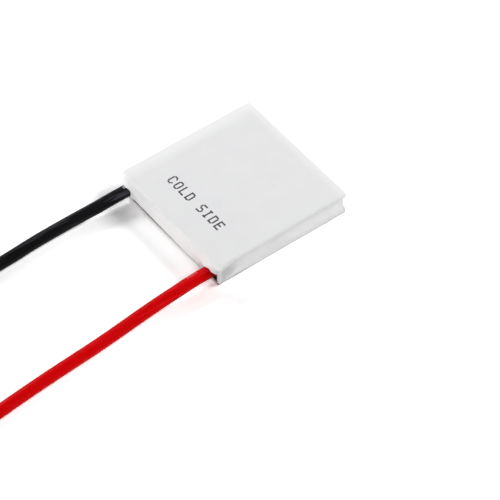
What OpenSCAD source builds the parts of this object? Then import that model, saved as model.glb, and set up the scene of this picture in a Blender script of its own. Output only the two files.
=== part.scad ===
// Thermoelectric cooling module: two ceramic plates with a grid of semiconductor
// legs soldered between them, sealed round the edge, with a black and a red lead.
// Origin: middle of the hot face, which lies on the surface. +Z goes to the cold
// face, +X runs along the lead edge from the black lead to the red one, and the
// leads leave towards -Y.

/* [Plates] */
// Side of the square ceramic plates
plate_side = 25; // [24:0.5:26]
// Thickness of one ceramic plate
plate_t = 0.8; // [0.6:0.1:0.9]
// Radius of the plates' ground corners
corner_r = 0.35; // [0.1:0.05:0.8]

/* [Couples] */
// Legs along each side of the grid
grid_n = 10; // [6:2:10]
// Bare border of the plate outside the grid
grid_border = 0.5; // [0.4:0.1:0.9]
// Width of a leg as a share of the grid's pitch
leg_share = 0.58; // [0.4:0.02:0.64]
// Height of a leg
leg_h = 1.7; // [1.5:0.1:2]
// Width of a copper tab as a share of the grid's pitch
tab_share = 0.68; // [0.64:0.02:0.8]
// Thickness of a copper tab
tab_t = 0.35; // [0.25:0.05:0.4]
// Thickness of the solder between a leg and a tab
solder_t = 0.1; // [0.05:0.05:0.15]

/* [Edge sealant] */
// Clear space between the outermost tabs and the sealant
seal_clear = 0.14; // [0.1:0.02:0.2]
// Step from the plates' edges in to the sealant, on the three plain sides
seal_step = 0.1; // [0:0.05:0.15]
// Step from the lead edge in to the sealant
seal_lead_step = 0.03; // [0:0.01:0.1]
// Depth of the hollow in the sealant between the plates
seal_hollow = 0.22; // [0.1:0.02:0.26]

/* [Leads] */
// Diameter over a lead's insulation
lead_d = 2; // [1.8:0.1:2]
// Diameter of the bundle of tinned strands
strand_d = 0.9; // [0.6:0.1:1]
// How far a lead's insulation reaches into the sealant
lead_seat = 0.5; // [0.3:0.05:0.5]
// How far the bared strands reach in from the lead edge
strand_reach = 2.3; // [2:0.1:2.4]
// Height of a lead's middle where it leaves the sealant
lead_z = 1.9; // [1.9:0.05:2.1]
// Length of the bare tinned end of a lead
tip_l = 6; // [3:0.5:6]

/* [Coil] */
// Middle of the coil, to the side of the plates' middle
coil_x = 1.5; // [1:0.5:2]
// Middle of the coil, out from the lead edge
coil_out = 53.5; // [53.5:0.5:58]
// Width of the band that ties the coil
tie_w = 3.2; // [2:0.2:5]
// Thickness of that band
tie_t = 0.3; // [0.2:0.05:0.4]
// Length of the band's twisted ends
tie_end_l = 6; // [4:1:8]
// Thickness of the twisted ends
tie_end_d = 1.5; // [1:0.1:2]

/* [Hidden] */
$fn = 48;
edge = plate_side / 2;
gap = 2 * tab_t + 2 * solder_t + leg_h;
cold_z = plate_t + gap;
pitch = (plate_side - 2 * grid_border) / grid_n;
leg_w = pitch * leg_share;
tab_w = pitch * tab_share;
tab_l = pitch + tab_w;
last = grid_n - 1;

// Heights of the layers between the plates, from the hot side up.
hot_tab_z = plate_t;
hot_solder_z = hot_tab_z + tab_t;
leg_z = hot_solder_z + solder_t;
cold_solder_z = leg_z + leg_h;
cold_tab_z = cold_solder_z + solder_t;

// Where each lead leaves the edge, and its strands' height on the terminal tab.
black_x = -10.5;
red_x = 10.65;
strand_z = hot_solder_z + strand_d / 2;

// The coil has two layers. In each, a lead makes two turns side by side, from
// the outermost turn's radius inwards.
turn_r = 12.5;
turn_step = 2.1;
turns_out = turn_r + lead_d / 2;
turns_in = turn_r - 2.5 * turn_step;

// Height of a lead's middle on the surface, and on the coil's lower layer.
low = lead_d / 2;
high = 1.5 * lead_d;

// Routes of the leads: across, out from the lead edge, and up.
black_route = [
    [black_x, -lead_seat, lead_z], [black_x, 1, lead_z], [-10.55, 3, 1.85],
    [-10.65, 6, 1.65], [-10.9, 10, 1.35], [-11.05, 14, 1.1], [-11, 18, low],
    [-10.75, 22, low], [-10.6, 26, low], [-10.6, 30, low], [-10.7, 34, 1.2],
    [-10.8, 38, 1.85], [-10.95, 42, 2.6], [coil_x - turn_r, 46, high],
    [coil_x - turn_r, 50, high], [coil_x - turn_r, coil_out, high]
];
red_route = [
    [red_x, -lead_seat, lead_z], [red_x, 1, lead_z], [10.6, 3, 1.85],
    [10.65, 6, 1.65], [10.7, 10, 1.35], [10.9, 14, 1.1], [11.25, 18, low],
    [11.6, 22, low], [11.85, 26, low], [12.1, 30, low], [12.4, 34, low],
    [12.75, 38, low], [13.15, 42, low], [13.5, 46, low], [13.85, 50, low],
    [coil_x + turn_r, coil_out - 1, low], [coil_x + turn_r, coil_out, low]
];

// Free tails inside the coil: across and along from the coil's middle, and up.
black_tail = [
    [-8.3, 0, high], [-8.3, -0.5, high], [-7.8, -2.5, high], [-6, -4, high],
    [-4, -5, 2.9], [-1.8, -4.8, 2.65], [-0.4, -4, 2.5]
];
red_tail = [
    [8.3, 0, low], [8.3, -0.5, low], [7.8, -2.5, low], [6.2, -4.2, low],
    [4, -5, low], [3, -5.05, low]
];

// Names of the nodes that come once for each column of the grid.
columns = [1 : grid_n];

// The current runs up and down the columns in turn. A place in the grid is
// numbered along that path. The first and the last place have no leg, because
// the leads are soldered there.
function place(column, row) = grid_n * column + (column % 2 == 0 ? row : last - row);
function is_terminal(n) = n == 0 || n == grid_n * grid_n - 1;
function across(column) = (column - last / 2) * pitch;

function side_of(way) = let (s = cross([0, 0, 1], way)) s / norm(s);
function way_at(p, i) = let (w = p[min(i + 1, len(p) - 1)] - p[max(i - 1, 0)]) w / norm(w);

// A round tube of eight sides along a list of points.
module tube(points, d) {
    sides = 8;
    rings = [for (i = [0 : len(points) - 1])
        let (w = way_at(points, i), s = side_of(w), u = cross(w, s))
        for (k = [0 : sides - 1])
            points[i] + d / 2 * (cos(360 * k / sides) * s + sin(360 * k / sides) * u)];
    walls = [for (i = [0 : len(points) - 2]) for (k = [0 : sides - 1])
        let (a = i * sides + k, b = i * sides + (k + 1) % sides)
        [a, a + sides, b + sides, b]];
    near_end = [for (k = [0 : sides - 1]) k];
    far_end = [for (k = [sides - 1 : -1 : 0]) (len(points) - 1) * sides + k];
    polyhedron(rings, concat(walls, [near_end, far_end]));
}

// A block that is centred across and along, and stands on its base.
module block(w, l, h) {
    translate([-w / 2, -l / 2, 0]) cube([w, l, h]);
}

// A flat square plate with round upright corners.
module rounded_block(w, l, h, r) {
    linear_extrude(h) {
        square([w - 2 * r, l], center = true);
        square([w, l - 2 * r], center = true);
        for (x = [-1, 1], y = [-1, 1])
            translate([x * (w / 2 - r), y * (l / 2 - r)]) circle(r);
    }
}

module ceramic_plate() {
    color("whitesmoke") rounded_block(plate_side, plate_side, plate_t, corner_r);
}

module cold_side_plate() {
    translate([0, 0, cold_z]) ceramic_plate();
}

module hot_side_plate() {
    ceramic_plate();
}

// The hollow of the sealant is a large cylinder that lies along each plain side.
module seal_hollows() {
    r = (pow(gap / 2, 2) + pow(seal_hollow, 2)) / (2 * seal_hollow);
    for (a = [90, 180, 0])
        rotate([0, 0, a])
            translate([edge - seal_step - seal_hollow + r, 0, plate_t + gap / 2])
                rotate([90, 0, 0])
                    cylinder(r = r, h = 2 * plate_side, center = true, $fn = 96);
}

// A round rod that lies along the leads' way, from one distance in to another.
module rod(x, z, d, from, to) {
    translate([x, -edge + from, z]) rotate([90, 0, 0])
        cylinder(d = d, h = from - to);
}

// A lead's seat: the insulation ends in the sealant and the strands go on.
module lead_seat_cut(x) {
    rod(x, lead_z, lead_d, lead_seat, -1);
    rod(x, strand_z, strand_d, strand_reach, 0);
}

// The sealant is open for a little way beside the red lead, over the hot plate.
module seal_gap() {
    gap_w = 0.95;
    gap_h = 0.8;
    translate([red_x + 0.7, -edge, plate_t])
        translate([0, -lead_seat, -gap_h]) cube([gap_w, 2 * lead_seat, 2 * gap_h]);
}

module edge_sealant() {
    outer = plate_side - 2 * seal_step;
    outer_l = plate_side - seal_step - seal_lead_step;
    inner = 2 * across(last) + tab_w + 2 * seal_clear;
    color("snow") difference() {
        translate([0, (seal_lead_step - seal_step) / 2, plate_t])
            rounded_block(outer, outer_l, gap, corner_r);
        translate([0, 0, plate_t - 1]) block(inner, inner, gap + 2);
        seal_hollows();
        lead_seat_cut(black_x);
        lead_seat_cut(red_x);
        seal_gap();
    }
}

// A tab that joins two neighbouring places of one column.
module column_tab(column, row) {
    translate([across(column), across(row) + pitch / 2, 0]) block(tab_w, tab_l, tab_t);
}

// Hot side tabs join the places 0-1, 2-3 and so on, and cold side tabs 1-2, 3-4.
module column_tabs(column, odd) {
    color("peru")
        for (row = [0 : last - 1]) {
            low = min(place(column, row), place(column, row + 1));
            ends = is_terminal(place(column, row)) || is_terminal(place(column, row + 1));
            if (low % 2 == odd && !ends) column_tab(column, row);
        }
}

module hot_tabs(column) {
    translate([0, 0, hot_tab_z]) column_tabs(column - 1, 0);
}

module cold_tabs(column) {
    translate([0, 0, cold_tab_z]) column_tabs(column - 1, 1);
}

// Between two columns the path turns over a tab that lies across them.
module cold_turn_tabs() {
    color("peru")
        for (column = [0 : last - 1])
            translate([across(column) + pitch / 2,
                       across(column % 2 == 0 ? last : 0), cold_tab_z])
                block(tab_l, tab_w, tab_t);
}

module terminal_tab(column) {
    color("peru") translate([0, 0, hot_tab_z]) column_tab(column, 0);
}

module black_terminal_tab() {
    terminal_tab(0);
}

module red_terminal_tab() {
    terminal_tab(last);
}

// Legs of one kind in one column: odd places are p type and even places n type.
module legs(column, odd) {
    for (row = [0 : last]) {
        n = place(column, row);
        if (n % 2 == odd && !is_terminal(n))
            translate([across(column), across(row), leg_z]) block(leg_w, leg_w, leg_h);
    }
}

module p_legs(column) {
    color("dimgray") legs(column - 1, 1);
}

module n_legs(column) {
    color("slategray") legs(column - 1, 0);
}

module solder_pads(z) {
    color("silver")
        for (column = [0 : last], row = [0 : last])
            if (!is_terminal(place(column, row)))
                translate([across(column), across(row), z]) block(leg_w, leg_w, solder_t);
}

module hot_side_solder() {
    solder_pads(hot_solder_z);
}

module cold_side_solder() {
    solder_pads(cold_solder_z);
}

// The bared strands lie flat on the terminal tab.
module lead_strands(x) {
    color("silver") rod(x, strand_z, strand_d, strand_reach, lead_seat);
}

module black_lead_strands() {
    lead_strands(black_x);
}

module red_lead_strands() {
    lead_strands(red_x);
}

// The solder wets the tab, climbs round the strands and closes over their end.
module terminal_solder(x) {
    joint_d = 1.44;
    joint_end = strand_reach + 0.1;
    color("silver") difference() {
        union() {
            rod(x, hot_solder_z, joint_d, joint_end, joint_end - 1);
            translate([x, -edge + joint_end, hot_solder_z]) sphere(d = joint_d);
        }
        translate([x, -edge + joint_end, hot_solder_z - 2]) block(4, 4, 2);
        rod(x, strand_z, strand_d, strand_reach, lead_seat);
    }
}

module black_terminal_solder() {
    terminal_solder(black_x);
}

module red_terminal_solder() {
    terminal_solder(red_x);
}

function from_edge(route) = [for (p = route) [p[0], -edge - p[1], p[2]]];
function from_coil(tail) = [for (p = tail) [coil_x + p[0], -edge - coil_out + p[1], p[2]]];

module black_lead() {
    color("black") {
        tube(from_edge(black_route), lead_d);
        tube(from_coil(black_tail), lead_d);
    }
}

module red_lead() {
    color("red") {
        tube(from_edge(red_route), lead_d);
        tube(from_coil(red_tail), lead_d);
    }
}

// Part of a flat ring between two radii, from one angle on through another.
module ring(r_in, r_out, h, from, angle) {
    rotate([0, 0, from]) rotate_extrude(angle = angle, $fn = 96)
        translate([r_in, 0]) square([r_out - r_in, h]);
}

// One flat layer of turns, wound inwards: a ring with a part left out on the
// outside, for the lead coming in, and on the inside, for its free tail.
module coil_layer() {
    lead_in = 40;
    tail_out = 60;
    difference() {
        ring(turns_in, turns_out, lead_d, 0, 360);
        translate([0, 0, -1])
            ring(turn_r - 0.5 * turn_step, turns_out + 1, lead_d + 2,
                 180 - lead_in, lead_in);
        translate([0, 0, -1])
            ring(turns_in - 1, turn_r - 1.5 * turn_step, lead_d + 2, 180, tail_out);
    }
}

module at_coil() {
    translate([coil_x, -edge - coil_out, 0]) children();
}

module black_lead_coil() {
    color("black") at_coil() translate([0, 0, lead_d]) coil_layer();
}

module red_lead_coil() {
    color("red") at_coil() difference() {
        mirror([1, 0, 0]) coil_layer();
        translate([0, turn_r, -1]) block(tie_w, 2 * turn_r, 1 + tie_t);
    }
}

// The bare tinned end goes straight on from the last stretch of a tail.
module lead_tip(tail) {
    points = from_coil(tail);
    n = len(points) - 1;
    way = points[n] - points[n - 1];
    color("silver") translate(points[n])
        rotate([0, acos(way[2] / norm(way)), atan2(way[1], way[0])])
            cylinder(d = strand_d, h = tip_l);
}

module black_lead_tip() {
    lead_tip(black_tail);
}

module red_lead_tip() {
    lead_tip(red_tail);
}

// A flat band round both layers of the coil, with its ends twisted together.
module leads_tie() {
    inside = turns_in - 0.25;
    color("white") at_coil() {
        translate([-tie_w / 2, 0, 0]) rotate([90, 0, 90]) linear_extrude(tie_w)
            difference() {
                translate([inside - tie_t, 0])
                    square([turns_out - inside + 2 * tie_t, 2 * lead_d + tie_t]);
                translate([inside, tie_t])
                    square([turns_out - inside, 2 * lead_d - tie_t]);
            }
        translate([0, turns_out + tie_t, lead_d]) rotate([-90, 0, 0])
            cylinder(d = tie_end_d, h = tie_end_l);
    }
}

hot_side_plate();
cold_side_plate();
edge_sealant();
for (c = columns) {
    hot_tabs(c);
    cold_tabs(c);
    p_legs(c);
    n_legs(c);
}
cold_turn_tabs();
hot_side_solder();
cold_side_solder();
black_terminal_tab();
red_terminal_tab();
black_lead_strands();
red_lead_strands();
black_terminal_solder();
red_terminal_solder();
black_lead();
red_lead();
black_lead_coil();
red_lead_coil();
black_lead_tip();
red_lead_tip();
leads_tie();
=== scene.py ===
import math

import bmesh
import bpy
from mathutils import Matrix, Vector, noise


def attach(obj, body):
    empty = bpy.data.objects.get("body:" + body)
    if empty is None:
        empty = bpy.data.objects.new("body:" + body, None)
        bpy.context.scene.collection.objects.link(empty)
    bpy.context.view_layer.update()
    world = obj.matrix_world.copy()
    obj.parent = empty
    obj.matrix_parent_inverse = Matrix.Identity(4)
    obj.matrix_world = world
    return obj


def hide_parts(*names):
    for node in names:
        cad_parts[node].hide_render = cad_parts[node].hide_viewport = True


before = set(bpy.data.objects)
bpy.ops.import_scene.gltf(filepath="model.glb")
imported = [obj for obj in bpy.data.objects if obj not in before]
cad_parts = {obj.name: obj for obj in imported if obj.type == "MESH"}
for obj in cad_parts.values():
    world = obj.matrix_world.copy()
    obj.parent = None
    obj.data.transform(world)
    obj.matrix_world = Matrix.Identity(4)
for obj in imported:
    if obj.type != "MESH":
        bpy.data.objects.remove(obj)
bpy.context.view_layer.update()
mm = 0.001
print("frame loaded:", len(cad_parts), "nodes")

# the camera, in mm
cameraView = {
    "place": (241.681, -181.623, 335.407),
    "lookAt": (6.913, -2.130, -3.959),
    "lens": 207.7,
    "sensor": 36.0,
    "clip": (0.02, 20),  # m
}


def makeCamera():
    data = bpy.data.cameras.new("camera")
    data.sensor_width = cameraView["sensor"]
    data.lens = cameraView["lens"]
    data.clip_start, data.clip_end = cameraView["clip"]
    camera = bpy.data.objects.new("camera", data)
    bpy.context.collection.objects.link(camera)
    camera.location = Vector(cameraView["place"]) * mm
    look = Vector(cameraView["lookAt"]) - Vector(cameraView["place"])
    camera.rotation_euler = look.to_track_quat("-Z", "Y").to_euler()
    bpy.context.scene.camera = camera


makeCamera()
print("camera made")


# helpers for nodes and pieces
def addNode(tree, kind, inputs=None, **settings):
    made = tree.nodes.new(kind)
    for name, value in settings.items():
        setattr(made, name, value)
    for name, value in (inputs or {}).items():
        if isinstance(value, bpy.types.NodeSocket):
            tree.links.new(value, made.inputs[name])
        else:
            made.inputs[name].default_value = value
    return made


def mixColours(tree, share, first, second):
    return addNode(tree, "ShaderNodeMix", {0: share, 6: first, 7: second},
                   data_type="RGBA").outputs[2]


def maths(tree, how, first, second):
    return addNode(tree, "ShaderNodeMath", {0: first, 1: second},
                   operation=how).outputs[0]


def vectorMaths(tree, how, first, second):
    return addNode(tree, "ShaderNodeVectorMath", {0: first, 1: second},
                   operation=how).outputs[0]


def newMaterial(name):
    material = bpy.data.materials.new(name)
    material.use_nodes = True
    material.node_tree.nodes.clear()
    return material, material.node_tree


def finishMaterial(tree, shader):
    output = addNode(tree, "ShaderNodeOutputMaterial")
    tree.links.new(shader.outputs[0], output.inputs["Surface"])


def placePiece(piece, material, slotName, *replaced):
    bpy.context.collection.objects.link(piece)
    piece.data.materials.append(material)
    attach(piece, "root")
    if replaced:
        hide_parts(*replaced)
    return piece


flatFrom = 0.00002  # m2


def meshPiece(name, bm, material, slotName, *replaced):
    mesh = bpy.data.meshes.new(name)
    bm.to_mesh(mesh)
    bm.free()
    for face in mesh.polygons:  # the wide flat ones stay flat
        face.use_smooth = face.area < flatFrom
    return placePiece(bpy.data.objects.new(name, mesh), material, slotName, *replaced)


def wander(x, y, z, size):
    return noise.noise(Vector((x, y, z)) * size)


def smoothStep(low, high, value):
    share = min(1.0, max(0.0, (value - low) / (high - low)))
    return share * share * (3 - 2 * share)


def uprightEdges(bm):
    return [e for e in bm.edges if abs(e.verts[0].co.z - e.verts[1].co.z) > 0.1]


def bevelEdges(bm, edges, offset, steps):
    bmesh.ops.bevel(bm, geom=edges, affect="EDGES", offset=offset, segments=steps,
                    profile=0.5, material=-1)


def inMetres(bm):
    bmesh.ops.scale(bm, vec=(mm, mm, mm), verts=bm.verts)
    bmesh.ops.recalc_face_normals(bm, faces=bm.faces)
    return bm


# effects that several materials share
effects = {
    "speckEdge": (0.05, 0.12),  # share of a cell
    "scuffTurn": (0.3, 0.5, 0.9),
    "scuffStretch": 0.16,  # along a scuff, to 1 across it
    "scuffFull": 0.8,
    "stainBreaks": 1800.0,  # size of the breaks in a stain's border
}


def newGroup(name, ins, outs):
    group = bpy.data.node_groups.new(name, "ShaderNodeTree")
    for label, kind, value in ins:
        made = group.interface.new_socket(label, in_out="INPUT", socket_type=kind)
        if value is not None:
            made.default_value = value
    for label, kind in outs:
        group.interface.new_socket(label, in_out="OUTPUT", socket_type=kind)
    return group, addNode(group, "NodeGroupInput"), addNode(group, "NodeGroupOutput")


def grainGroup():
    # fine grain, soft clouding and sparse dark specks, all from 0 to 1
    group, given, made = newGroup(
        "fineGrain",
        [("Vector", "NodeSocketVector", None), ("Grain Size", "NodeSocketFloat", 6000.0),
         ("Cloud Size", "NodeSocketFloat", 180.0),
         ("Speck Size", "NodeSocketFloat", 900.0)],
        [("Grain", "NodeSocketFloat"), ("Cloud", "NodeSocketFloat"),
         ("Specks", "NodeSocketFloat")])
    grain = addNode(group, "ShaderNodeTexNoise", {
        "Vector": given.outputs["Vector"], "Scale": given.outputs["Grain Size"],
        "Detail": 4.0, "Roughness": 0.6})
    cloud = addNode(group, "ShaderNodeTexNoise", {
        "Vector": given.outputs["Vector"], "Scale": given.outputs["Cloud Size"],
        "Detail": 3.0, "Roughness": 0.5})
    cells = addNode(group, "ShaderNodeTexVoronoi", {
        "Vector": given.outputs["Vector"], "Scale": given.outputs["Speck Size"]})
    dots = addNode(group, "ShaderNodeMapRange", {
        "Value": cells.outputs["Distance"], "From Min": effects["speckEdge"][0],
        "From Max": effects["speckEdge"][1], "To Min": 1.0, "To Max": 0.0})
    group.links.new(grain.outputs[0], made.inputs["Grain"])
    group.links.new(cloud.outputs[0], made.inputs["Cloud"])
    group.links.new(dots.outputs["Result"], made.inputs["Specks"])
    return group


def scuffGroup():
    # long thin marks of handling, from 0 to 1
    group, given, made = newGroup(
        "scuffs",
        [("Vector", "NodeSocketVector", None), ("Size", "NodeSocketFloat", 300.0),
         ("Spread", "NodeSocketFloat", 0.62)],
        [("Marks", "NodeSocketFloat")])
    stretch = addNode(group, "ShaderNodeMapping", {
        "Vector": given.outputs["Vector"], "Rotation": effects["scuffTurn"],
        "Scale": (1.0, effects["scuffStretch"], 1.0)})
    marks = addNode(group, "ShaderNodeTexNoise", {
        "Vector": stretch.outputs[0], "Scale": given.outputs["Size"],
        "Detail": 5.0, "Roughness": 0.7})
    sharp = addNode(group, "ShaderNodeMapRange", {
        "Value": marks.outputs[0], "From Min": given.outputs["Spread"],
        "From Max": effects["scuffFull"]})
    group.links.new(sharp.outputs["Result"], made.inputs["Marks"])
    return group


def stainGroup():
    # a block of space with soft, broken borders, from 0 outside to 1 inside
    group, given, made = newGroup(
        "stain",
        [("Vector", "NodeSocketVector", None), ("Low", "NodeSocketVector", None),
         ("High", "NodeSocketVector", None), ("Soft", "NodeSocketVector", None),
         ("Break Up", "NodeSocketFloat", 0.0002)],
        [("Mask", "NodeSocketFloat")])
    cloud = addNode(group, "ShaderNodeTexNoise", {
        "Vector": given.outputs["Vector"], "Scale": effects["stainBreaks"], "Detail": 3.0})
    shift = vectorMaths(group, "SUBTRACT", cloud.outputs["Color"], (0.5, 0.5, 0.5))
    shift = addNode(group, "ShaderNodeVectorMath", {
        0: shift, "Scale": given.outputs["Break Up"]}, operation="SCALE").outputs[0]
    place = vectorMaths(group, "ADD", given.outputs["Vector"], shift)
    inside = None
    for first, second in ((place, given.outputs["Low"]), (given.outputs["High"], place)):
        depth = vectorMaths(group, "SUBTRACT", first, second)
        depth = vectorMaths(group, "DIVIDE", depth, given.outputs["Soft"])
        depth = vectorMaths(group, "MINIMUM", depth, (1, 1, 1))
        depth = vectorMaths(group, "MAXIMUM", depth, (0, 0, 0))
        inside = depth if inside is None else (
            vectorMaths(group, "MULTIPLY", inside, depth))
    sides = addNode(group, "ShaderNodeSeparateXYZ", {0: inside}).outputs
    mask = maths(group, "MULTIPLY", sides[0], sides[1])
    mask = maths(group, "MULTIPLY", mask, sides[2])
    group.links.new(mask, made.inputs["Mask"])
    return group


fineGrain = grainGroup()
scuffs = scuffGroup()
stain = stainGroup()


def objectPoint(tree):
    return addNode(tree, "ShaderNodeTexCoord").outputs["Object"]


def grainOf(tree, point, grainSize, cloudSize, speckSize):
    return addNode(tree, "ShaderNodeGroup", {
        "Vector": point, "Grain Size": grainSize, "Cloud Size": cloudSize,
        "Speck Size": speckSize}, node_tree=fineGrain).outputs


def scuffsOf(tree, point, size, spread):
    return addNode(tree, "ShaderNodeGroup", {
        "Vector": point, "Size": size, "Spread": spread}, node_tree=scuffs).outputs[0]


def stainOf(tree, point, low, high, soft, breakUp):
    # low and high are corners of the stained block and soft its border along
    # each axis, in mm
    return addNode(tree, "ShaderNodeGroup", {
        "Vector": point, "Low": Vector(low) * mm, "High": Vector(high) * mm,
        "Soft": Vector(soft) * mm, "Break Up": breakUp * mm}, node_tree=stain).outputs[0]


def ranged(tree, value, low, high, toLow, toHigh):
    return addNode(tree, "ShaderNodeMapRange", {
        "Value": value, "From Min": low, "From Max": high,
        "To Min": toLow, "To Max": toHigh}).outputs["Result"]


def bumped(tree, height, strength, distance):
    return addNode(tree, "ShaderNodeBump", {
        "Height": height, "Strength": strength, "Distance": distance}).outputs["Normal"]


stainColours = {
    "fleck": (0.33, 0.33, 0.35, 1.0),  # sealant that got on the black lead
    "paintedShadeRed": (0.085, 0.002, 0.003, 1.0),  # red, painted shade under the sealant's lip at the red lead's joint
    # a painted glint on the red lead's top
    "paintedGlintRed": (0.85, 0.22, 0.25, 1.0),
    "paintedEdgeLight": (0.93, 0.932, 0.94, 1.0),  # painted light: whiter at two far rims of the cold face and at the sealant's left end above the black lead
    # painted shade along the foot of the hot plate's +X edge
    "paintedFootShade": (0.42, 0.41, 0.40, 1.0),
    "paintedDeepShade": (0.035, 0.010, 0.008, 1.0),  # painted shade: a dark line along the lead edge's foot and inside the red lead's pocket
    "paintedLineShade": (0.24, 0.20, 0.18, 1.0),  # painted shade, a paler line along the lead edge's foot
    "paintedBrownShade": (0.17, 0.11, 0.085, 1.0),  # painted shade below the red lead's joint, tinted by light reflected off the red lead
    "paintedGreyShade": (0.55, 0.55, 0.555, 1.0),  # painted shade
    # painted light on the right side
    "paintedLightSide": (0.87, 0.87, 0.87, 1.0),
}


def stained(tree, point, shade, stains):
    # a stain: corners of its block, softness and wander of its border, strength, colour
    for low, high, soft, breakUp, strength, colour in stains:
        mask = stainOf(tree, point, low, high, soft, breakUp)
        shade = mixColours(tree, ranged(tree, mask, 0.0, 1.0, 0.0, strength), shade,
                           stainColours[colour])
    return shade


# insulation of the leads
insulation = {
    "straightFrom": (-0.058, -0.048),  # y where the leads come out of the coil, m
    "paintedToneFrom": (-0.034, -0.019),  # y over which their colour changes towards the joints: painted lighter on the black lead and painted shade on the red one, m
    "drawnSize": 1300.0,
    "drawnStretch": 0.04,  # along the drawn lines, to 1 across them
    "grain": (2600.0, 140.0, 700.0),
    "scuffs": (420.0, 0.6),
    "cloudShare": 0.5,
    "scuffShare": 0.35,
    # painted highlight streaks along the leads
    "highlightStreakShare": 0.9,
    "highlightStreakFarShare": 0.3,  # of that, away from the joints
    "bump": (0.35, 0.00008),
    "black": {
        "colour": (0.0006, 0.0006, 0.0008, 1.0),
        "nearPaintedTone": (0.003, 0.003, 0.004, 1.0),
        "worn": (0.008, 0.008, 0.011, 1.0),
        # painted highlight
        "paintedStreakHighlight": (0.062, 0.06, 0.075, 1.0),
        "gloss": 0.06,
        "roughness": 0.15,
        "stains": [
            ((-10.95, -13.75, 2.75), (-10.25, -13.1, 3.2), (0.12, 0.15, 0.1), 0.25, 0.9,
             "fleck")],
    },
    "red": {
        "colour": (0.70, 0.0008, 0.0016, 1.0),
        "nearPaintedTone": (0.61, 0.0008, 0.0012, 1.0),
        "worn": (0.75, 0.003, 0.005, 1.0),
        # painted highlight
        "paintedStreakHighlight": (0.80, 0.010, 0.018, 1.0),
        "gloss": 0.03,
        "roughness": 0.2,
        "stains": [
            # painted shade on the red lead under the sealant's lip, and a painted glint on
            # its top
            ((9.2, -13.6, 0), (13, -12, 3.4), (0.5, 0.7, 0.3), 0.3, 0.78, "paintedShadeRed"),
            ((9.8, -16.9, 2.3), (10.5, -14.7, 3.2), (0.12, 0.25, 0.12), 0.45, 0.32,
             "paintedGlintRed")],
    },
}


def insulationMaterial(side):
    kind = insulation[side]
    material, tree = newMaterial(side + "Insulation")
    point = objectPoint(tree)
    # it was drawn through a die, which leaves lines along it; these give its bump and mask
    # painted highlight streaks
    along = addNode(tree, "ShaderNodeMapping", {
        "Vector": point, "Scale": (1.0, insulation["drawnStretch"], 1.0)}).outputs[0]
    drawn = addNode(tree, "ShaderNodeTexNoise", {
        "Vector": along, "Scale": insulation["drawnSize"], "Detail": 3.0,
        "Roughness": 0.6}).outputs[0]
    out = addNode(tree, "ShaderNodeSeparateXYZ", {0: point}).outputs[1]
    straight = ranged(tree, out, *insulation["straightFrom"], 0.0, 1.0)
    near = ranged(tree, out, *insulation["paintedToneFrom"], 0.0, 1.0)
    drawn = addNode(tree, "ShaderNodeMix", {0: straight, 2: 0.5, 3: drawn}).outputs[0]
    grain = grainOf(tree, point, *insulation["grain"])
    marks = scuffsOf(tree, point, *insulation["scuffs"])
    clouds = ranged(tree, grain["Cloud"], 0.35, 0.7, 0.0, insulation["cloudShare"])
    scuffed = ranged(tree, marks, 0.0, 1.0, 0.0, insulation["scuffShare"])
    # painted highlight streaks, stronger near the joints
    paintedHighlightStreaks = maths(tree, "MULTIPLY",
                    ranged(tree, drawn, 0.54, 0.66, 0.0, insulation["highlightStreakShare"]),
                    ranged(tree, near, 0.0, 1.0, insulation["highlightStreakFarShare"], 1.0))
    # painted tone near the joints: lighter on the black lead, painted shade on the red one
    shade = mixColours(tree, near, kind["colour"], kind["nearPaintedTone"])
    shade = mixColours(tree, clouds, shade, kind["worn"])
    shade = mixColours(tree, scuffed, shade, kind["worn"])
    shade = mixColours(tree, paintedHighlightStreaks, shade, kind["paintedStreakHighlight"])
    shade = stained(tree, point, shade, kind["stains"])
    rough = ranged(tree, grain["Grain"], 0.3, 0.7, kind["roughness"] - 0.04,
                   kind["roughness"] + 0.06)
    height = maths(tree, "ADD", drawn,
                   ranged(tree, grain["Grain"], 0.0, 1.0, 0.0, 0.2))
    finishMaterial(tree, addNode(tree, "ShaderNodeBsdfPrincipled", {
        "Base Color": shade, "Roughness": rough, "IOR": 1.5,
        "Specular IOR Level": kind["gloss"],
        "Normal": bumped(tree, height, *insulation["bump"])}))
    return material


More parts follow.
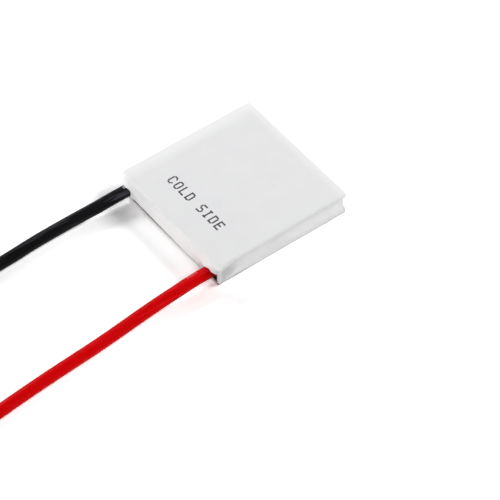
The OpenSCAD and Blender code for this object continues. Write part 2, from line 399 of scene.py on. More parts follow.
# the leads, in mm: a route's points are across, out from the lead edge and up, and
# a tail's are across and along from the coil's middle, and up
leads = {
    "diameter": 2.08,
    "edge": -12.5,  # y of the lead edge
    "coilMiddle": (1.5, -66.0),
    "outerTurn": 12.5,  # radius of the outermost turn
    "turnStep": 2.1,
    "turns": 2,
    "pointsPerTurn": 16,
    "steps": 5,  # from one point to the next
    "roundSteps": 8,
    "tieLift": 0.32,  # the band of the tie lies under the turns
    "tieWidth": 28.0,  # degrees of the turns that it lifts
    "length": 200.0,
    "black": {
        "coilHeight": 3.12,
        "coilFrom": 180,  # degrees
        "coilWay": 1,
        "route": [
            (-10.5, -0.5, 1.9), (-10.5, 1, 1.9), (-10.55, 3, 1.85), (-10.65, 6, 1.65),
            (-10.9, 10, 1.35), (-11.05, 14, 1.12), (-11, 18, 1.04), (-10.75, 22, 1.04),
            (-10.6, 26, 1.04), (-10.6, 30, 1.04), (-10.7, 34, 1.25), (-10.8, 38, 1.9),
            (-10.95, 42, 2.7), (-11, 46, 3.12), (-11, 50, 3.12)],
        "tail": [(-7.8, -2.5, 3.1), (-6, -4, 3.1), (-4, -5, 2.95), (-1.8, -4.8, 2.67),
                 (-0.4, -4, 2.5)],
    },
    "red": {
        "coilHeight": 1.04,
        "coilFrom": 0,
        "coilWay": -1,
        "route": [
            (10.65, -0.5, 1.9), (10.65, 1, 1.9), (10.6, 3, 1.85), (10.65, 6, 1.65),
            (10.7, 10, 1.35), (10.9, 14, 1.12), (11.25, 18, 1.04), (11.6, 22, 1.04),
            (11.85, 26, 1.04), (12.1, 30, 1.04), (12.4, 34, 1.04), (12.75, 38, 1.04),
            (13.15, 42, 1.04), (13.5, 46, 1.04), (13.85, 50, 1.04)],
        "tail": [(7.8, -2.5, 1.04), (6.2, -4.2, 1.04), (4, -5, 1.04), (3, -5.05, 1.04)],
    },
}


def leadPoints(lead):
    middle = leads["coilMiddle"]
    points = [Vector((x, leads["edge"] - out, z)) for x, out, z in lead["route"]]
    steps = leads["turns"] * leads["pointsPerTurn"]
    for step in range(steps + 1):
        turned = 360 * step / leads["pointsPerTurn"]
        angle = (lead["coilFrom"] + lead["coilWay"] * turned) % 360
        radius = leads["outerTurn"] - leads["turnStep"] * turned / 360
        share = max(0.0, 1 - abs(angle - 90) / leads["tieWidth"])
        lift = leads["tieLift"] * share * share * (3 - 2 * share)
        points.append(Vector((
            middle[0] + radius * math.cos(math.radians(angle)),
            middle[1] + radius * math.sin(math.radians(angle)),
            lead["coilHeight"] + lift)))
    points += [Vector((middle[0] + x, middle[1] + y, z)) for x, y, z in lead["tail"]]
    return points


def makeLead(name, points, material, slotName, *replaced):
    curve = bpy.data.curves.new(name, "CURVE")
    curve.dimensions = "3D"
    curve.resolution_u = leads["steps"]
    curve.bevel_depth = leads["diameter"] / 2 * mm
    curve.bevel_resolution = leads["roundSteps"]
    curve.use_fill_caps = True
    line = curve.splines.new("BEZIER")
    line.bezier_points.add(len(points) - 1)
    for place, point in zip(line.bezier_points, points):
        place.co = point * mm
        place.handle_left_type = place.handle_right_type = "AUTO"
    return placePiece(bpy.data.objects.new(name, curve), material, slotName, *replaced)


leadPaths = {side: leadPoints(leads[side]) for side in ("black", "red")}
leadPieces = {
    side: makeLead(side + "Lead", points, insulationMaterial(side), side + "_insulation",
                   side + "_lead", side + "_lead_coil")
    for side, points in leadPaths.items()}
print("leads laid")

# metals, and the bare tinned ends of the leads
metals = {
    # colour, colour of its patches, metallic, roughness, bump in mm
    "copper": ((0.72, 0.38, 0.24, 1.0), (0.50, 0.23, 0.14, 1.0), 1.0, 0.36, 0.01),
    "solder": ((0.60, 0.60, 0.60, 1.0), (0.44, 0.44, 0.45, 1.0), 1.0, 0.30, 0.04),
    "tinned": ((0.66, 0.66, 0.66, 1.0), (0.52, 0.50, 0.47, 1.0), 1.0, 0.32, 0.015),
    "pType": ((0.20, 0.20, 0.22, 1.0), (0.31, 0.31, 0.33, 1.0), 0.8, 0.42, 0.02),
    "nType": ((0.27, 0.29, 0.33, 1.0), (0.38, 0.40, 0.45, 1.0), 0.8, 0.40, 0.02),
}
metalSurface = {
    "grain": (7000.0, 900.0, 1800.0),
    "scuffs": (900.0, 0.6),
    "crystals": 3200.0,  # sawn alloy shows flat crystals of different shades
    "sawn": ("pType", "nType"),
}


def metalMaterial(name):
    colour, patchColour, metallic, roughness, depth = metals[name]
    material, tree = newMaterial(name + "Metal")
    point = objectPoint(tree)
    grain = grainOf(tree, point, *metalSurface["grain"])
    marks = scuffsOf(tree, point, *metalSurface["scuffs"])
    patches = ranged(tree, grain["Cloud"], 0.35, 0.65, 0.0, 1.0)
    height = grain["Cloud"]
    if name in metalSurface["sawn"]:
        cells = addNode(tree, "ShaderNodeTexVoronoi", {
            "Vector": point, "Scale": metalSurface["crystals"]})
        patches = height = addNode(tree, "ShaderNodeSeparateColor", {
            "Color": cells.outputs["Color"]}).outputs[0]
    shade = mixColours(tree, patches, colour, patchColour)
    shade = mixColours(tree, ranged(tree, grain["Specks"], 0.0, 1.0, 0.0, 0.3), shade,
                       patchColour)
    rough = maths(
        tree, "ADD",
        ranged(tree, grain["Grain"], 0.3, 0.7, roughness - 0.08, roughness + 0.1),
        ranged(tree, marks, 0.0, 1.0, 0.0, 0.12))
    finishMaterial(tree, addNode(tree, "ShaderNodeBsdfPrincipled", {
        "Base Color": shade, "Metallic": metallic, "Roughness": rough,
        "Normal": bumped(tree, height, 0.5, depth * mm)}))
    return material


metalMaterials = {name: metalMaterial(name) for name in metals}
leadTip = {
    "strands": 7,  # one in the middle and six round it
    "strand": 0.3,  # diameter of one, mm
    "apart": 0.97,  # of that, from the middle one to the others
    "strandSides": 8,
    "length": 6.0,
    "buried": 0.4,  # of it, in the insulation
    "turn": 330.0,  # degrees that the strands twist through
    "steps": 36,
    "endRound": 0.05,
}


def tipShape(end, before):
    bm = bmesh.new()
    for strand in range(leadTip["strands"]):
        aside = leadTip["strand"] * leadTip["apart"] if strand else 0.0
        turned = 360 / (leadTip["strands"] - 1) * strand
        place = Matrix.Rotation(math.radians(turned), 4, "Z") @ (
            Matrix.Translation((aside, 0, -leadTip["buried"])))
        made = bmesh.ops.create_circle(
            bm, cap_ends=True, radius=leadTip["strand"] / 2,
            segments=leadTip["strandSides"], matrix=place)
        face = made["verts"][0].link_faces[0]
        rise = (leadTip["length"] + leadTip["buried"]) / leadTip["steps"]
        bmesh.ops.spin(
            bm, geom=[face, *face.edges, *face.verts], cent=(0, 0, 0), axis=(0, 0, 1),
            dvec=(0, 0, rise), angle=math.radians(leadTip["turn"]), steps=leadTip["steps"],
            use_duplicate=False)
    bmesh.ops.holes_fill(bm, edges=bm.edges[:], sides=0)
    rims = [e for e in bm.edges if any(len(f.verts) > 4 for f in e.link_faces)]
    bevelEdges(bm, rims, leadTip["endRound"], 2)
    onwards = (end - before).to_track_quat("Z", "Y").to_matrix().to_4x4()
    bmesh.ops.transform(bm, matrix=Matrix.Scale(mm, 4) @ Matrix.Translation(end) @ onwards,
                        verts=bm.verts)
    bmesh.ops.recalc_face_normals(bm, faces=bm.faces)
    return bm


tips = {
    side: meshPiece(side + "LeadTip", tipShape(points[-1], points[-2]),
                    metalMaterials["tinned"], "tinned_wire", side + "_lead_tip")
    for side, points in leadPaths.items()}

# tie: a ribbon with a wire in it, round the coil, with its ends twisted
tie = {
    "colour": (0.80, 0.80, 0.78, 1.0),
    "wornColour": (0.66, 0.655, 0.63, 1.0),
    "roughness": 0.46,
    "width": 3.2,
    "thick": 0.28,
    "round": 0.9,  # radius of its turns
    "edgeRound": 0.07,
    "inner": 7.02,  # from the coil's middle to the inside of the slack ribbon
    "outer": 13.48,
    "low": 0.3,
    "high": 4.52,
    "neck": 1.9,  # the ribbon narrows over this length
    "twistGap": 0.02,  # from the loop to where the twisted part starts
    "twistWidth": 1.5,
    "twistThick": 0.62,
    "twistLength": 6.27,
    "twistTurns": 2.75,
    "twistFrom": (0.2, 2.4),  # how far along it the twist sets in
    "twistHeight": 2.05,
    "twistSteps": 90,
    "twistSides": 20,
    "pinch": 0.62,  # thickness between its two lobes, to 1 at them
    "tipLength": 0.3,
    "tipShare": 0.5,  # how much smaller its end gets
    "grain": (5000.0, 500.0, 2200.0),
    "scuffs": (700.0, 0.58),
}


def tieMaterial():
    material, tree = newMaterial("tieRibbon")
    point = objectPoint(tree)
    grain = grainOf(tree, point, *tie["grain"])
    marks = scuffsOf(tree, point, *tie["scuffs"])
    shade = mixColours(tree, ranged(tree, grain["Cloud"], 0.4, 0.7, 0.0, 0.4),
                       tie["colour"], tie["wornColour"])
    shade = mixColours(tree, ranged(tree, marks, 0.0, 1.0, 0.0, 0.5), shade,
                       tie["wornColour"])
    rough = ranged(tree, grain["Grain"], 0.3, 0.7, tie["roughness"] - 0.08,
                   tie["roughness"] + 0.1)
    finishMaterial(tree, addNode(tree, "ShaderNodeBsdfPrincipled", {
        "Base Color": shade, "Roughness": rough, "IOR": 1.48, "Specular IOR Level": 0.35,
        "Normal": bumped(tree, grain["Grain"], 0.4, 0.00002)}))
    return material


def tieShape():
    middle = Vector((*leads["coilMiddle"], 0))
    bm = bmesh.new()
    bmesh.ops.create_cube(bm, size=1.0)
    bmesh.ops.scale(bm, vec=(tie["width"], tie["outer"] - tie["inner"],
                             tie["high"] - tie["low"]), verts=bm.verts)
    bmesh.ops.delete(bm, geom=[f for f in bm.faces if abs(f.normal.x) > 0.9],
                     context="FACES_ONLY")
    long = [e for e in bm.edges if abs(e.verts[0].co.x - e.verts[1].co.x) > 1]
    bevelEdges(bm, long, tie["round"], 8)
    bmesh.ops.recalc_face_normals(bm, faces=bm.faces)
    bmesh.ops.solidify(bm, geom=bm.faces[:], thickness=-tie["thick"])
    edges = [e for e in bm.edges if abs(e.verts[0].co.x - e.verts[1].co.x) < 0.01
             and abs(abs(e.verts[0].co.x) - tie["width"] / 2) < 0.01
             and any(abs(f.normal.x) > 0.9 for f in e.link_faces)
             and any(abs(f.normal.x) < 0.9 for f in e.link_faces)]
    bevelEdges(bm, edges, tie["edgeRound"], 2)
    centre = middle + Vector((0, (tie["inner"] + tie["outer"]) / 2,
                              (tie["low"] + tie["high"]) / 2))
    bmesh.ops.translate(bm, vec=centre, verts=bm.verts)
    # both ends leave the loop together, narrow and twist round each other
    start = Vector((middle.x, middle.y + tie["outer"] + tie["twistGap"],
                    tie["twistHeight"]))
    ring = bmesh.ops.create_circle(bm, cap_ends=True, radius=1.0,
                                   segments=tie["twistSides"])["verts"]
    flat = {vert: vert.co.copy() for vert in ring}
    face = ring[0].link_faces[0]
    for step in range(tie["twistSteps"] + 1):
        along = tie["twistLength"] * step / tie["twistSteps"]
        narrow = smoothStep(0, tie["neck"], along)
        wide = tie["width"] / 2 * (1 - narrow) + tie["twistWidth"] / 2 * narrow
        thick = tie["thick"] + (tie["twistThick"] - tie["thick"]) * narrow
        turn = math.radians(360 * tie["twistTurns"]) * smoothStep(
            *tie["twistFrom"], along) * along / tie["twistLength"]
        end = 1 - tie["tipShare"] * smoothStep(
            tie["twistLength"] - tie["tipLength"], tie["twistLength"], along)
        for vert, place in flat.items():
            # two rounded lobes side by side, pinched between
            lobe = tie["pinch"] + (1 - tie["pinch"]) * abs(place.x)
            lobe = thick * lobe * place.y * end
            across = wide * place.x * end
            vert.co = start + Vector((
                across * math.cos(turn) - lobe * math.sin(turn), along,
                across * math.sin(turn) + lobe * math.cos(turn)))
        if step == tie["twistSteps"]:
            break
        made = bmesh.ops.extrude_face_region(bm, geom=[face])["geom"]
        bmesh.ops.delete(bm, geom=[face], context="FACES_ONLY")
        fresh = [g for g in made if isinstance(g, bmesh.types.BMVert)]
        face = next(g for g in made if isinstance(g, bmesh.types.BMFace))
        flat = {new: next(p for old, p in flat.items() if (old.co - new.co).length < 1e-6)
                for new in fresh}
    bmesh.ops.holes_fill(bm, edges=bm.edges[:], sides=0)
    return inMetres(bm)


leadsTie = meshPiece("leadsTie", tieShape(), tieMaterial(), "tie", "leads_tie")
print("tips and tie made")

# ceramic plates
plate = {
    "side": 25.0,
    "thick": 0.8,
    "coldZ": 3.4,  # underside of the cold plate
    "corner": 0.35,  # radius of the ground corners
    "edgeRound": 0.1,
    "wander": 0.035,  # how far a fired edge wanders
    "wanderSizes": (0.35, 1.7),
    "edgeSteps": 60,
    "colour": (0.82, 0.822, 0.83, 1.0),
    "cloudColour": (0.80, 0.802, 0.812, 1.0),
    "speckColour": (0.60, 0.59, 0.57, 1.0),
    "roughness": 0.52,
    "grain": (9000.0, 260.0, 1300.0),
    "scuffs": (240.0, 0.63),
    "stains": [
        # painted light at two far rims of the cold face
        ((-14, -14, 3.4), (-9.8, 14, 6), (2.4, 1, 0.3), 0.5, 1.0, "paintedEdgeLight"),
        ((-14, 10.9, 3.4), (14, 14, 6), (1, 1.3, 0.3), 0.5, 0.6, "paintedEdgeLight"),
        # painted shade along the foot of the +X edge, strongest near the red lead's corner
        ((11, -14, -1), (13, 13, 0.42), (0.3, 1, 0.3), 0.3, 0.6, "paintedFootShade"),
        ((11, -18, -1), (13, -4, 0.55), (0.3, 5, 0.3), 0.3, 1.0, "paintedFootShade"),
        # painted shade: a line along the lead edge's foot, darkest towards the black lead
        ((-20, -14, -1), (9, -12.2, 0.9), (7, 0.1, 0.1), 0.1, 0.85, "paintedLineShade"),
        ((-20, -14, -1), (2, -12.2, 0.9), (8, 0.1, 0.1), 0.1, 1.0, "paintedDeepShade"),
        # painted shade below the red lead's joint and on the floor of its pocket
        ((10.3, -14, -1), (12.8, -12.1, 0.7), (0.3, 0.2, 0.2), 0.2, 0.85, "paintedBrownShade"),
        ((10.3, -14, 0.55), (12.4, -11, 1.2), (0.2, 0.2, 0.1), 0.2, 1.0, "paintedDeepShade"),
    ],
}


def aluminaMaterial():
    material, tree = newMaterial("alumina")
    point = objectPoint(tree)
    grain = grainOf(tree, point, *plate["grain"])
    marks = scuffsOf(tree, point, *plate["scuffs"])
    shade = mixColours(tree, ranged(tree, grain["Cloud"], 0.35, 0.65, 0.0, 1.0),
                       plate["colour"], plate["cloudColour"])
    rare = ranged(tree, grain["Cloud"], 0.52, 0.56, 0.0, 0.35)
    shade = mixColours(tree, maths(tree, "MULTIPLY", grain["Specks"], rare), shade,
                       plate["speckColour"])
    shade = stained(tree, point, shade, plate["stains"])
    rough = maths(
        tree, "SUBTRACT",
        ranged(tree, grain["Grain"], 0.3, 0.7, plate["roughness"] - 0.06,
               plate["roughness"] + 0.06),
        ranged(tree, marks, 0.0, 1.0, 0.0, 0.14))
    finishMaterial(tree, addNode(tree, "ShaderNodeBsdfPrincipled", {
        "Base Color": shade, "Roughness": rough, "IOR": 1.6, "Specular IOR Level": 0.3,
        "Normal": bumped(tree, grain["Grain"], 0.35, 0.000012)}))
    return material


def plateShape(z):
    bm = bmesh.new()
    bmesh.ops.create_cube(bm, size=1.0)
    bmesh.ops.scale(bm, vec=(plate["side"], plate["side"], plate["thick"]), verts=bm.verts)
    bevelEdges(bm, uprightEdges(bm), plate["corner"], 5)
    long = [e for e in bm.edges if e.calc_length() > plate["side"] / 2]
    bmesh.ops.subdivide_edges(bm, edges=long, cuts=plate["edgeSteps"] - 1)
    for vert in bm.verts:  # the edges aren't quite straight
        away = Vector((vert.co.x, vert.co.y, 0)).normalized()
        x, y, low = vert.co.x, vert.co.y, vert.co.z + z
        broad, fine = (wander(x, y, low, size) for size in plate["wanderSizes"])
        vert.co += away * plate["wander"] * (broad + 0.5 * fine - 0.6)
    rims = [e for e in bm.edges
            if abs(e.verts[0].co.z - e.verts[1].co.z) < 0.01
            and any(abs(f.normal.z) > 0.9 for f in e.link_faces)
            and any(abs(f.normal.z) < 0.9 for f in e.link_faces)]
    bevelEdges(bm, rims, plate["edgeRound"], 3)
    bmesh.ops.translate(bm, vec=(0, 0, z + plate["thick"] / 2), verts=bm.verts)
    return inMetres(bm)


alumina = aluminaMaterial()
meshPiece("coldSidePlate", plateShape(plate["coldZ"]), alumina, "alumina",
          "cold_side_plate")
meshPiece("hotSidePlate", plateShape(0), alumina, "alumina", "hot_side_plate")
print("plates made")

# sealant between the plates, and wiped over the lead edge
sealant = {
    "colour": (0.80, 0.80, 0.80, 1.0),
    "cloudColour": (0.83, 0.83, 0.825, 1.0),
    "roughness": 0.42,
    "grain": (3500.0, 420.0, 1500.0),
    "side": 24.8,  # over the sealant, between the plates
    "leadEdge": 12.47,
    "low": 0.8,
    "high": 3.4,
    "wall": 0.42,
    "plainWithin": 0.6,  # of the lead edge, where it isn't hollow
    "hollow": 0.3,  # deepest under the cold plate
    "deepens": 1.9,  # height over which it gets that deep
    "closes": (2.9, 3.5),  # z over which it closes again
    "closed": 0.8,  # share of the hollow that is closed then
    "wave": 0.05,
    "waveSizes": (0.5, 1.6),
    "steps": 125,
    "rows": 26,
    # the pocket beside the red lead: from and to across, top, depth
    "pocket": (10.3, 12.36, 2.45, 0.45),
    "stains": [
        # painted shade in the pocket beside the red lead
        ((10, -12.42, 0.5), (12.45, -11, 2.6), (0.1, 0.1, 0.1), 0.2, 1.0, "paintedDeepShade"),
        # painted shade round the corner by the red lead, beside its pocket and beside the
        # black lead; painted light on the far part of the right side and at the left end
        # above the black lead
        ((11.2, -15.2, 0.9), (14, -8.8, 4.2), (0.8, 2.2, 1.1), 0.4, 0.85, "paintedGreyShade"),
        ((11.4, -14, -1), (14, -10.6, 3.6), (0.7, 1, 0.8), 0.3, 0.6, "paintedGreyShade"),
        ((10, -14, 0.2), (14, -12, 3.5), (1.2, 0.3, 1.2), 0.3, 0.9, "paintedGreyShade"),
        ((-12, -14, -1), (-7.6, -12, 2.9), (1.5, 0.3, 1), 0.4, 0.75, "paintedGreyShade"),
        ((11, -0.5, 0.5), (14, 14, 3.6), (0.3, 3, 0.5), 0.3, 0.8, "paintedLightSide"),
        ((-14, -14, 2.2), (-10.2, -12, 6), (1.2, 0.3, 0.8), 0.3, 1.0, "paintedEdgeLight"),
    ],
}


def sealantMaterial():
    material, tree = newMaterial("whiteSealant")
    point = objectPoint(tree)
    grain = grainOf(tree, point, *sealant["grain"])
    shade = mixColours(tree, ranged(tree, grain["Cloud"], 0.35, 0.65, 0.0, 1.0),
                       sealant["colour"], sealant["cloudColour"])
    shade = stained(tree, point, shade, sealant["stains"])
    rough = ranged(tree, grain["Cloud"], 0.3, 0.7, sealant["roughness"] - 0.08,
                   sealant["roughness"] + 0.08)
    height = maths(tree, "ADD", grain["Cloud"],
                   ranged(tree, grain["Grain"], 0.0, 1.0, 0.0, 0.15))
    finishMaterial(tree, addNode(tree, "ShaderNodeBsdfPrincipled", {
        "Base Color": shade, "Roughness": rough, "IOR": 1.42, "Specular IOR Level": 0.3,
        "Normal": bumped(tree, height, 0.5, 0.00005)}))
    return material


def sealantRing():
    bm = bmesh.new()
    bmesh.ops.create_cube(bm, size=1.0)
    half = sealant["side"] / 2
    for vert in bm.verts:
        vert.co.x = math.copysign(half, vert.co.x)
        vert.co.y = half if vert.co.y > 0 else -sealant["leadEdge"]
        vert.co.z = sealant["high"] if vert.co.z > 0 else sealant["low"]
    lids = [f for f in bm.faces if abs(f.normal.z) > 0.9]
    bmesh.ops.delete(bm, geom=lids, context="FACES_ONLY")
    bevelEdges(bm, uprightEdges(bm), plate["corner"], 5)
    long = [e for e in bm.edges if e.calc_length() > half]
    bmesh.ops.subdivide_edges(bm, edges=long, cuts=sealant["steps"] - 1,
                              use_grid_fill=True)
    bmesh.ops.subdivide_edges(bm, edges=uprightEdges(bm), cuts=sealant["rows"] - 1,
                              use_grid_fill=True)
    bm.normal_update()
    pocketFrom, pocketTo, pocketTop, pocketDepth = sealant["pocket"]
    for vert in bm.verts:
        plain = (vert.co.y + sealant["leadEdge"]) / sealant["plainWithin"]
        plain = min(1.0, max(0.0, plain))  # 0 on the lead edge
        x, y, z = vert.co
        # it bulges a little at its foot, and is hollow under the cold plate
        climb = min(1.0, (z - sealant["low"]) / sealant["deepens"])
        inward = sealant["hollow"] * climb * (2 - climb) * (
            1 - sealant["closed"] * smoothStep(*sealant["closes"], z))
        broad, fine = (wander(x, y, z, size) for size in sealant["waveSizes"])
        inward += sealant["wave"] * (broad + 0.5 * fine)
        away = Vector((vert.normal.x, vert.normal.y, 0)).normalized()
        vert.co -= away * inward * plain
        if plain == 0 and pocketFrom < x < pocketTo and z < pocketTop:
            vert.co.y += pocketDepth
    bmesh.ops.solidify(bm, geom=bm.faces[:], thickness=sealant["wall"])
    return inMetres(bm)


whiteSealant = sealantMaterial()
meshPiece("edgeSealant", sealantRing(), whiteSealant, "sealant", "edge_sealant")

# a skin of sealant is wiped over the lead edge and round the corner by the red
# lead, folds over the cold face, and swells over each lead
smear = {
    "from": -12.3,  # x where it starts
    "startShare": 0.025,  # share of its length over which it starts
    "corner": 0.35,
    "reach": 4.4,  # how far past the corner it goes
    "endFrom": 1.0,  # how far past the corner it begins to end
    "endSinks": (0.12, 0.45),  # how far it sinks at its end, and more in the hollow
    "hollowFrom": (0.7, 1.2),  # z over which the hollow begins
    "hollowTo": (3.2, 3.5),
    "back": 0.04,  # its flat back lies this deep in the plates' edges
    "proud": 0.16,  # how far it stands off the plates' edges
    "proudChange": 0.4,
    "low": (0.46, 0.3),  # how high its foot is, at the left and at the right
    "lowChange": (-9, 5),  # x over which that changes
    "lowWave": 0.02,
    "waveSizes": (0.8, 0.7, 2.6),  # along its foot, over its face, at its rough lip
    "thin": 0.04,  # how proud its foot is
    "thins": 0.22,  # share of its height over which it thins to the foot
    "top": 4.2,
    "fold": (0.28, 0.36),  # radius over the cold plate's edge, plain and at the corner
    "over": 0.003,  # how far it stands over the cold face
    "tuck": (0.06, 0.02),  # how far its back is under the cold face, and climbs
    "endRow": (0.12, 0.012),  # how far in and down each row past the fold goes
    "endLow": 0.03,  # how much lower it is where it starts and ends
    "thinnest": 0.02,
    "pillow": 0.12,  # how far it swells out round the corner
    "pillowFrom": (11.4, 12.4),  # x over which the pillow begins
    "pillowTo": (0.8, 3.4),  # how far past the corner it dies out
    "rounding": (0.083, 0.293),  # a corner of radius r is cut off by 0.293 r
    "steps": 300,
    "rows": (44, 6, 2),  # up the edge, round the fold, into the cold plate
    "gapFrom": 10.2,  # it is open here, beside the red lead
    "gapTo": 12.3,
    "gapTop": 2.45,
    "gapSoft": (0.3, 0.12),  # width of the open part's left and right borders
    "gapLip": (0.6, 0.08),  # share of its thickness at the lip, and where it is full
    "rough": 0.07,  # how rough its lip is at the red lead
    "roughFrom": (8.8, 9.8),  # x over which that begins
    "roughTo": (3.0, 3.6),  # z over which it dies out
    "swellsFrom": (-12.4, -11.2),  # x over which the swells begin
    # middle across and up, width, height, how far it swells out, how flat its top is
    "swells": [
        (-10.5, 1.9, 1.75, 1.75, 0.24, 4), (-10.6, 2.95, 0.8, 0.5, 0.42, 2),
        (-9.6, 1.4, 2.6, 1.6, 0.16, 2),
        (10.3, 2.95, 2.1, 0.8, 0.34, 2), (9.8, 2.75, 0.8, 0.4, 0.3, 2),
        (11.5, 2.6, 0.8, 0.5, 0.16, 2),
    ],
}


def smearBase(along):
    # place on the plates' outline, the way out of it, and distance past the corner
    half, corner = plate["side"] / 2, smear["corner"]
    straight = half - corner - smear["from"]
    bend = corner * math.pi / 2
    if along < straight:
        return Vector((smear["from"] + along, -half, 0)), Vector((0, -1, 0)), 0.0
    if along < straight + bend:
        angle = (along - straight) / corner - math.pi / 2
        way = Vector((math.cos(angle), math.sin(angle), 0))
        return Vector((half - corner, corner - half, 0)) + way * corner, way, 0.0
    past = along - straight - bend
    return Vector((half, corner - half + past, 0)), Vector((1, 0, 0)), past


def smearOut(x, z, share, start, pillow, opened):
    # how far it stands off the plates' outline
    waves = smear["waveSizes"]
    out = smear["proud"] * (1 + smear["proudChange"] * wander(x, 0, z, waves[1])) * start
    out += smear["pillow"] * pillow
    for middle, up, width, height, swell, flat in smear["swells"]:
        out += swell * smoothStep(*smear["swellsFrom"], x) * math.exp(
            -abs((x - middle) / width) ** flat - abs((z - up) / height) ** flat)
    out += smear["rough"] * wander(x, 0, z, waves[2]) * (
        smoothStep(*smear["roughFrom"], x) * (1 - smoothStep(*smear["roughTo"], z)))
    thinned = smear["thin"] + (out - smear["thin"]) * smoothStep(0, smear["thins"], share)
    lip, full = smear["gapLip"]
    rounded = out * (lip + (1 - lip) * smoothStep(0, full, share))
    return thinned + (rounded - thinned) * opened


def roundCorner(vert, out):
    # the corner is rounder where the skin is thick
    thin, cut = smear["rounding"]
    radius = (thin + out) / cut
    centre = Vector((plate["side"] / 2 + out - radius, radius - out - plate["side"] / 2))
    beyond = vert.co.xy - centre
    if radius > smear["corner"] and beyond.x > 0 and beyond.y < 0:
        beyond *= max(abs(beyond.x), abs(beyond.y)) / beyond.length
        vert.co.x, vert.co.y = centre + beyond


def smearShape():
    bm = bmesh.new()
    faceRows, foldRows, endRows = smear["rows"]
    rows = faceRows + foldRows + endRows
    bmesh.ops.create_grid(bm, x_segments=smear["steps"], y_segments=rows, size=0.5)
    length = plate["side"] / 2 - smear["corner"] - smear["from"] + (
        smear["corner"] * math.pi / 2 + smear["reach"])
    behind = {}
    for vert in bm.verts:
        across, row = vert.co.x + 0.5, round((vert.co.y + 0.5) * rows)
        base, way, past = smearBase(across * length)
        x = base.x + past
        start = smoothStep(0, smear["startShare"], across)
        end = smoothStep(smear["endFrom"], smear["reach"], past)
        pillow = smoothStep(*smear["pillowFrom"], x) * (
            1 - smoothStep(*smear["pillowTo"], past))
        leftSoft, rightSoft = smear["gapSoft"]
        opened = smoothStep(smear["gapFrom"] - leftSoft, smear["gapFrom"], x) * (
            1 - smoothStep(smear["gapTo"], smear["gapTo"] + rightSoft, x))
        left, right = smear["low"]
        low = left + (right - left) * smoothStep(*smear["lowChange"], x)
        low += smear["lowWave"] * wander(x, 0, 0, smear["waveSizes"][0])
        low += (smear["gapTop"] - low) * opened
        fold = smear["fold"][0] + (smear["fold"][1] - smear["fold"][0]) * pillow
        share = min(1.0, row / faceRows)
        z = low + share * (smear["top"] - fold - low)
        back, backZ = -smear["back"], z
        out = smearOut(x, z, share, start, pillow, opened)
        # past the corner it sinks into the hollow between the plates
        sinks, deeper = smear["endSinks"]
        out -= end * (sinks + deeper * smoothStep(*smear["hollowFrom"], z) * (
            1 - smoothStep(*smear["hollowTo"], z)))
        turn = min(1.0, max(0, row - faceRows) / foldRows)
        if turn:
            under, climb = smear["tuck"]
            back, backZ = back * (1 + turn), smear["top"] - under + climb * turn
            out -= fold * (1 - math.cos(turn * math.pi / 2))
            z += fold * math.sin(turn * math.pi / 2) + smear["over"]
        sunk = max(0, row - faceRows - foldRows)
        inward, down = smear["endRow"]
        out, z, back = out - inward * sunk, z - down * sunk, back - inward * sunk
        if end or not start:
            z -= smear["endLow"] * max(end, 1 - start) * turn
        out -= smear["endLow"] * (1 - start)
        back = min(back, out - smear["thinnest"])
        vert.co = base + way * out + Vector((0, 0, z))
        roundCorner(vert, out)
        behind[vert.co.copy().freeze()] = base + way * back + Vector((0, 0, backZ))
    made = bmesh.ops.extrude_face_region(bm, geom=bm.faces[:])["geom"]
    for vert in (g for g in made if isinstance(g, bmesh.types.BMVert)):
        vert.co = behind[vert.co.copy().freeze()]
    return inMetres(bm)


meshPiece("leadEdgeSealant", smearShape(), whiteSealant, "sealant")
print("sealant made")

# what is inside: tabs, legs, solder and the leads' bared strands
innerFinishes = {
    "tabs": "copper", "tab": "copper", "solder": "solder", "strands": "tinned",
    "p_legs": "pType", "n_legs": "nType",
}


def finishInside():
    for name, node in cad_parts.items():
        for part, finish in innerFinishes.items():
            if part in name.split("_") or name.startswith(part):
                for place in node.material_slots:
                    place.material = metalMaterials[finish]


finishInside()
print("inside finished")

# print on the cold face: dots of ink, 5 by 7 to a letter
inkPrint = {
    "words": "COLD SIDE",
    "start": (-6.8, -8.1),  # lower left corner of the first letter, mm
    "letterStep": 1.5,
    "dotStep": (0.2, 0.25),
    "dotSides": 12,
    "dotWidth": 0.35,
    "widthChange": 0.1,
    "dotTop": 0.42,  # radius of a dot's top, to the dot's width
    "dotHeight": 0.006,
    "heightStep": 0.12,  # share that a dot is higher than the one before it
    "heightSteps": 5,
    "aside": 0.02,  # how far a dot is off its place
    "change": 0.73,  # how fast width and place change from dot to dot
    "top": 4.2,
    "grain": (5000.0, 1400.0, 2500.0),
    "roughness": (0.55, 0.75),
    "colour": (0.035, 0.033, 0.042, 1.0),
    "thinColour": (0.10, 0.097, 0.112, 1.0),
}
dotLetters = {
    "C": (".###.", "#...#", "#....", "#....", "#....", "#...#", ".###."),
    "O": (".###.", "#...#", "#...#", "#...#", "#...#", "#...#", ".###."),
    "L": ("#....", "#....", "#....", "#....", "#....", "#....", "#####"),
    "D": ("####.", "#...#", "#...#", "#...#", "#...#", "#...#", "####."),
    "S": (".####", "#....", "#....", ".###.", "....#", "....#", "####."),
    "I": (".###.", "..#..", "..#..", "..#..", "..#..", "..#..", ".###."),
    "E": ("#####", "#....", "#....", "####.", "#....", "#....", "#####"),
}


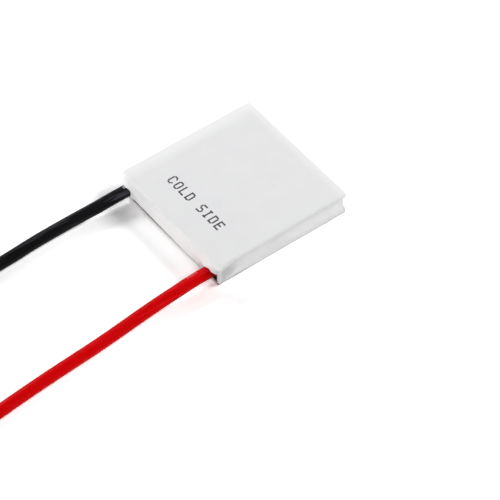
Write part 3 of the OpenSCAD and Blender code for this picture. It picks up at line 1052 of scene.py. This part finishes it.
def inkMaterial():
    material, tree = newMaterial("printInk")
    point = objectPoint(tree)
    grain = grainOf(tree, point, *inkPrint["grain"])
    shade = mixColours(tree, ranged(tree, grain["Cloud"], 0.4, 0.7, 0.0, 1.0),
                       inkPrint["colour"], inkPrint["thinColour"])
    rough = ranged(tree, grain["Grain"], 0.3, 0.7, *inkPrint["roughness"])
    finishMaterial(tree, addNode(tree, "ShaderNodeBsdfPrincipled", {
        "Base Color": shade, "Roughness": rough, "Specular IOR Level": 0.25,
        "Normal": bumped(tree, grain["Grain"], 0.3, 0.00001)}))
    return material


def printShape():
    bm = bmesh.new()
    left, low = inkPrint["start"]
    width, change = inkPrint["dotWidth"], inkPrint["change"]
    stepX, stepY = inkPrint["dotStep"]
    count = 0
    for place, letter in enumerate(inkPrint["words"]):
        for row, line in enumerate(dotLetters.get(letter, ())):
            for column, mark in enumerate(line):
                if mark != "#":
                    continue
                count += 1
                x = left + place * inkPrint["letterStep"] + (column * stepX + width / 2)
                y = low + (6 - row) * stepY + width / 2
                x += inkPrint["aside"] * wander(count, 0, 0, change)
                y += inkPrint["aside"] * wander(0, count, 0, change)
                tall = inkPrint["dotHeight"] * (
                    1 + inkPrint["heightStep"] * (count % inkPrint["heightSteps"]))
                wide = width * (
                    1 + inkPrint["widthChange"] * wander(0, 0, count, change))
                # half of each dot is sunk in the plate
                bmesh.ops.create_cone(
                    bm, cap_ends=True, segments=inkPrint["dotSides"], radius1=wide / 2,
                    radius2=wide * inkPrint["dotTop"], depth=2 * tall,
                    matrix=Matrix.Translation((x, y, inkPrint["top"])))
    bmesh.ops.scale(bm, vec=(mm, mm, mm), verts=bm.verts)
    return bm


meshPiece("facePrint", printShape(), inkMaterial(), "alumina")
print("print made")

# floor and light: a lamp's share is the part of the floor's light that it gives
studio = {
    "sky": 0.03,
    "floorHalf": 1.5,  # m
    "floorColour": 0.8,
    # how pale the floor looks at the object and further out, with the shadow kept
    "floorSeen": (1.5, 1.85),
    "floorPaintedLight": (-0.0165, -0.026),  # y over which it gets paler, painted light that lightens the leads' shadows further out, m
    # painted shade in front of the lead edge, which deepens the shadows there: corners of
    # the block, softness and wander, strength
    "floorPaintedShade": ((-15, -20.5, -1), (9, -10, 1), (4, 4, 1), 0, 0.2),
    # from where (degrees from +X, and above the floor), how far, disk's width, share
    "lamps": {
        "left": (178, 34, 0.5, 0.15, 0.335),
        "back": (62, 39, 0.35, 0.13, 0.33),
        "front": (-66, 17, 1.0, 0.6, 0.242),
        "top": (150, 50, 0.5, 0.06, 0.03),
    },
}


def seenDirectly(tree):
    path = addNode(tree, "ShaderNodeLightPath")
    seen = path.outputs["Is Camera Ray"]
    for other in ("Is Glossy Ray", "Is Transmission Ray"):
        seen = maths(tree, "MAXIMUM", seen, path.outputs[other])
    return seen


def makeFloor():
    bm = bmesh.new()
    bmesh.ops.create_grid(bm, x_segments=1, y_segments=1, size=studio["floorHalf"])
    mesh = bpy.data.meshes.new("floor")
    bm.to_mesh(mesh)
    bm.free()
    floor = bpy.data.objects.new("floor", mesh)
    bpy.context.collection.objects.link(floor)
    material, tree = newMaterial("paleFloor")
    point = objectPoint(tree)
    out = addNode(tree, "ShaderNodeSeparateXYZ", {0: point}).outputs[1]
    # the seen floor is painted paler further out, which lightens the leads' shadows, and
    # painted duller in front of the lead edge, which deepens the shadows there
    seen = ranged(tree, out, *studio["floorPaintedLight"], *studio["floorSeen"])
    *block, strength = studio["floorPaintedShade"]
    paintedFloorShade = ranged(tree, stainOf(tree, point, *block), 0.0, 1.0, 1.0, 1 - strength)
    seen = maths(tree, "MULTIPLY", seen, paintedFloorShade)
    level = ranged(tree, seenDirectly(tree), 0.0, 1.0, studio["floorColour"], seen)
    finishMaterial(tree, addNode(tree, "ShaderNodeBsdfDiffuse", {"Color": level}))
    floor.data.materials.append(material)


def makeWorld():
    world = bpy.data.worlds.new("studio")
    world.use_nodes = True
    bpy.context.scene.world = world
    tree = world.node_tree
    tree.nodes.clear()
    level = ranged(tree, seenDirectly(tree), 0.0, 1.0, studio["sky"], 1.0)
    sky = addNode(tree, "ShaderNodeBackground", {"Color": (1, 1, 1, 1), "Strength": level})
    output = addNode(tree, "ShaderNodeOutputWorld")
    tree.links.new(sky.outputs[0], output.inputs["Surface"])


def makeLamp(name, turn, rise, far, width, share):
    turn, rise = math.radians(turn), math.radians(rise)
    data = bpy.data.lights.new(name, "AREA")
    data.shape = "DISK"
    data.size = width
    data.energy = share * (math.pi * far) ** 2 / math.sin(rise)
    lamp = bpy.data.objects.new(name, data)
    bpy.context.collection.objects.link(lamp)
    lamp.location = far * Vector((
        math.cos(rise) * math.cos(turn), math.cos(rise) * math.sin(turn), math.sin(rise)))
    lamp.rotation_euler = (-lamp.location).to_track_quat("-Z", "Y").to_euler()


makeFloor()
makeWorld()
for lampName, lampPlace in studio["lamps"].items():
    makeLamp(lampName, *lampPlace)

scene = bpy.context.scene
scene.view_settings.view_transform = "Standard"
print("floor and light made")
